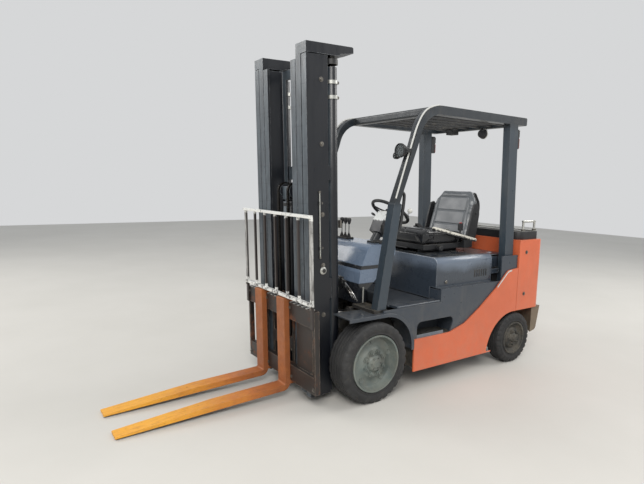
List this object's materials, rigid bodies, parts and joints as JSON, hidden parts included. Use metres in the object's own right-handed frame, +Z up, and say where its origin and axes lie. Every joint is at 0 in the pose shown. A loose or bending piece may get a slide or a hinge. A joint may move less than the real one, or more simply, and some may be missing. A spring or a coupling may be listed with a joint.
{
  "type": "forklift truck",
  "caption": "Counterbalanced forklift truck: mast with sliding stages, tilting, a carriage with forks, an overhead guard, a seat on a tipping hood, and steered rear wheels.",
  "frame": {"origin": "middle of the bounding box in plan, on the ground under the wheels", "axes": "+X to the driver's left as seen in the picture's near side, +Y from the forks to the counterweight, +Z up"},
  "size_m": [1.065, 3.3612, 2.2552],
  "materials": {
    "orange_paint": "gloss, worn and dusty",
    "dark_paint": "satin, scuffed",
    "black_paint": "satin, oily dust",
    "grey_paint": "satin, scuffed",
    "pale_panel": "gloss",
    "mast_paint": "satin, greasy",
    "rusty_paint": "matt, rusted at its edges",
    "fork_paint": "matt, worn to rust",
    "rim_paint": "satin, dusty",
    "rim_dark": "satin, dusty",
    "engine_paint": "satin",
    "cast_black": "matt paint over rough casting",
    "bare_steel": "oiled, dull",
    "pale_steel": "dull zinc",
    "tread_steel": "worn tread plate",
    "chromed_rod": "polished",
    "floor_mat": "ribbed, dusty",
    "tyre": "solid rubber, dusty",
    "black_plastic": "grained",
    "seat_cover": "coated cloth, satin"
  },
  "bodies": {
    "chassis": {"frame": "black_paint", "side_skirts": "orange_paint", "side_panels": "dark_paint", "fenders": "grey_paint", "steps": "tread_steel", "floor_plate": "floor_mat", "cowl": "pale_panel", "overhead_guard": "dark_paint", "roof_bars": "dark_paint", "lamps": "black_plastic", "counterweight": "orange_paint", "tail_weight": "cast_black", "rear_cover": "black_plastic", "tank_bracket": "pale_steel", "tow_pin": "bare_steel", "rear_deck": "dark_paint", "engine": "engine_paint", "drive_axle": "black_paint", "steer_axle": "black_paint", "steering_column": "black_plastic", "control_levers": "black_plastic"},
    "hood": {"hood": "pale_panel", "seat_base": "black_plastic", "seat_cushion": "seat_cover", "seat_back": "seat_cover", "hip_rests": "black_plastic"},
    "steering_wheel": {"steering_wheel": "black_plastic"},
    "drive_wheel_left": {"drive_tyre_left": "tyre", "drive_rim_left": "rim_paint"},
    "drive_wheel_right": {"drive_tyre_right": "tyre", "drive_rim_right": "rim_paint"},
    "knuckle_left": {"knuckle_left": "black_paint"},
    "knuckle_right": {"knuckle_right": "black_paint"},
    "steer_wheel_left": {"steer_tyre_left": "tyre", "steer_rim_left": "rim_dark"},
    "steer_wheel_right": {"steer_tyre_right": "tyre", "steer_rim_right": "rim_dark"},
    "mast_outer": {"mast_outer": "mast_paint", "lift_cylinders": "mast_paint"},
    "mast_middle": {"mast_middle": "mast_paint", "lift_rods": "chromed_rod"},
    "mast_inner": {"mast_inner": "mast_paint", "free_lift_cylinder": "mast_paint"},
    "crosshead": {"crosshead": "mast_paint", "lift_chains": "bare_steel"},
    "carriage": {"carriage": "rusty_paint", "backrest": "rusty_paint"},
    "fork_left": {"fork_left": "fork_paint"},
    "fork_right": {"fork_right": "fork_paint"},
    "tilt_barrels": {"tilt_barrels": "black_paint"},
    "tilt_rods": {"tilt_rods": "chromed_rod"}
  },
  "joints": [
    {"name": "hood_open", "type": "hinge", "parent": "chassis", "child": "hood", "pos_m": [0, 1.1406, 0.76], "axis": [-1, 0, 0], "range_deg": [0, 25]},
    {"name": "steering_spin", "type": "hinge", "parent": "chassis", "child": "steering_wheel", "pos_m": [0, 0.3806, 1.21], "axis": [0, 0.5736, 0.8192], "continuous": true},
    {"name": "drive_spin_left", "type": "hinge", "parent": "chassis", "child": "drive_wheel_left", "pos_m": [0.4435, -0.1594, 0.2665], "axis": [1, 0, 0], "continuous": true},
    {"name": "drive_spin_right", "type": "hinge", "parent": "chassis", "child": "drive_wheel_right", "pos_m": [-0.4435, -0.1594, 0.2665], "axis": [1, 0, 0], "continuous": true},
    {"name": "steer_left", "type": "hinge", "parent": "chassis", "child": "knuckle_left", "pos_m": [0.335, 1.3136, 0.203], "axis": [0, 0, 1], "range_deg": [-75, 75]},
    {"name": "steer_right", "type": "hinge", "parent": "chassis", "child": "knuckle_right", "pos_m": [-0.335, 1.3136, 0.203], "axis": [0, 0, 1], "range_deg": [-75, 75]},
    {"name": "steer_spin_left", "type": "hinge", "parent": "knuckle_left", "child": "steer_wheel_left", "pos_m": [0.4515, 1.3136, 0.203], "axis": [1, 0, 0], "continuous": true},
    {"name": "steer_spin_right", "type": "hinge", "parent": "knuckle_right", "child": "steer_wheel_right", "pos_m": [-0.4515, 1.3136, 0.203], "axis": [1, 0, 0], "continuous": true},
    {"name": "mast_tilt", "type": "hinge", "parent": "chassis", "child": "mast_outer", "pos_m": [0, -0.1594, 0.2665], "axis": [1, 0, 0], "range_deg": [-9, 0]},
    {"name": "tilt_barrel_swing", "type": "hinge", "parent": "chassis", "child": "tilt_barrels", "pos_m": [0, 0.1706, 0.515], "axis": [1, 0, 0], "range_deg": [-4, 1]},
    {"name": "tilt_rod_slide", "type": "slide", "parent": "tilt_barrels", "child": "tilt_rods", "axis": [0, -0.9978, 0.0668], "range_m": [-0.05, 0.005]},
    {"name": "stage_lift", "type": "slide", "parent": "mast_outer", "child": "mast_middle", "axis": [0, -0.0401, 0.9992], "range_m": [0, 1.5]},
    {"name": "inner_lift", "type": "slide", "parent": "mast_middle", "child": "mast_inner", "axis": [0, -0.0401, 0.9992], "range_m": [0, 1.5]},
    {"name": "carriage_lift", "type": "slide", "parent": "mast_inner", "child": "carriage", "axis": [0, -0.0401, 0.9992], "range_m": [0, 1.4]},
    {"name": "crosshead_lift", "type": "slide", "parent": "mast_inner", "child": "crosshead", "axis": [0, -0.0401, 0.9992], "range_m": [0, 0.7]},
    {"name": "fork_left_shift", "type": "slide", "parent": "carriage", "child": "fork_left", "axis": [1, 0, 0], "range_m": [-0.035, 0.265]},
    {"name": "fork_right_shift", "type": "slide", "parent": "carriage", "child": "fork_right", "axis": [1, 0, 0], "range_m": [-0.155, 0.14]}
  ],
  "couplings": [
    {"joint": "steer_right", "follows": "steer_left", "ratio": 1},
    {"joint": "tilt_barrel_swing", "follows": "mast_tilt", "ratio": 0.38255},
    {"joint": "tilt_rod_slide", "follows": "mast_tilt", "m_per_rad": 0.27929},
    {"joint": "inner_lift", "follows": "stage_lift", "ratio": 1},
    {"joint": "crosshead_lift", "follows": "carriage_lift", "ratio": 0.5}
  ]
}
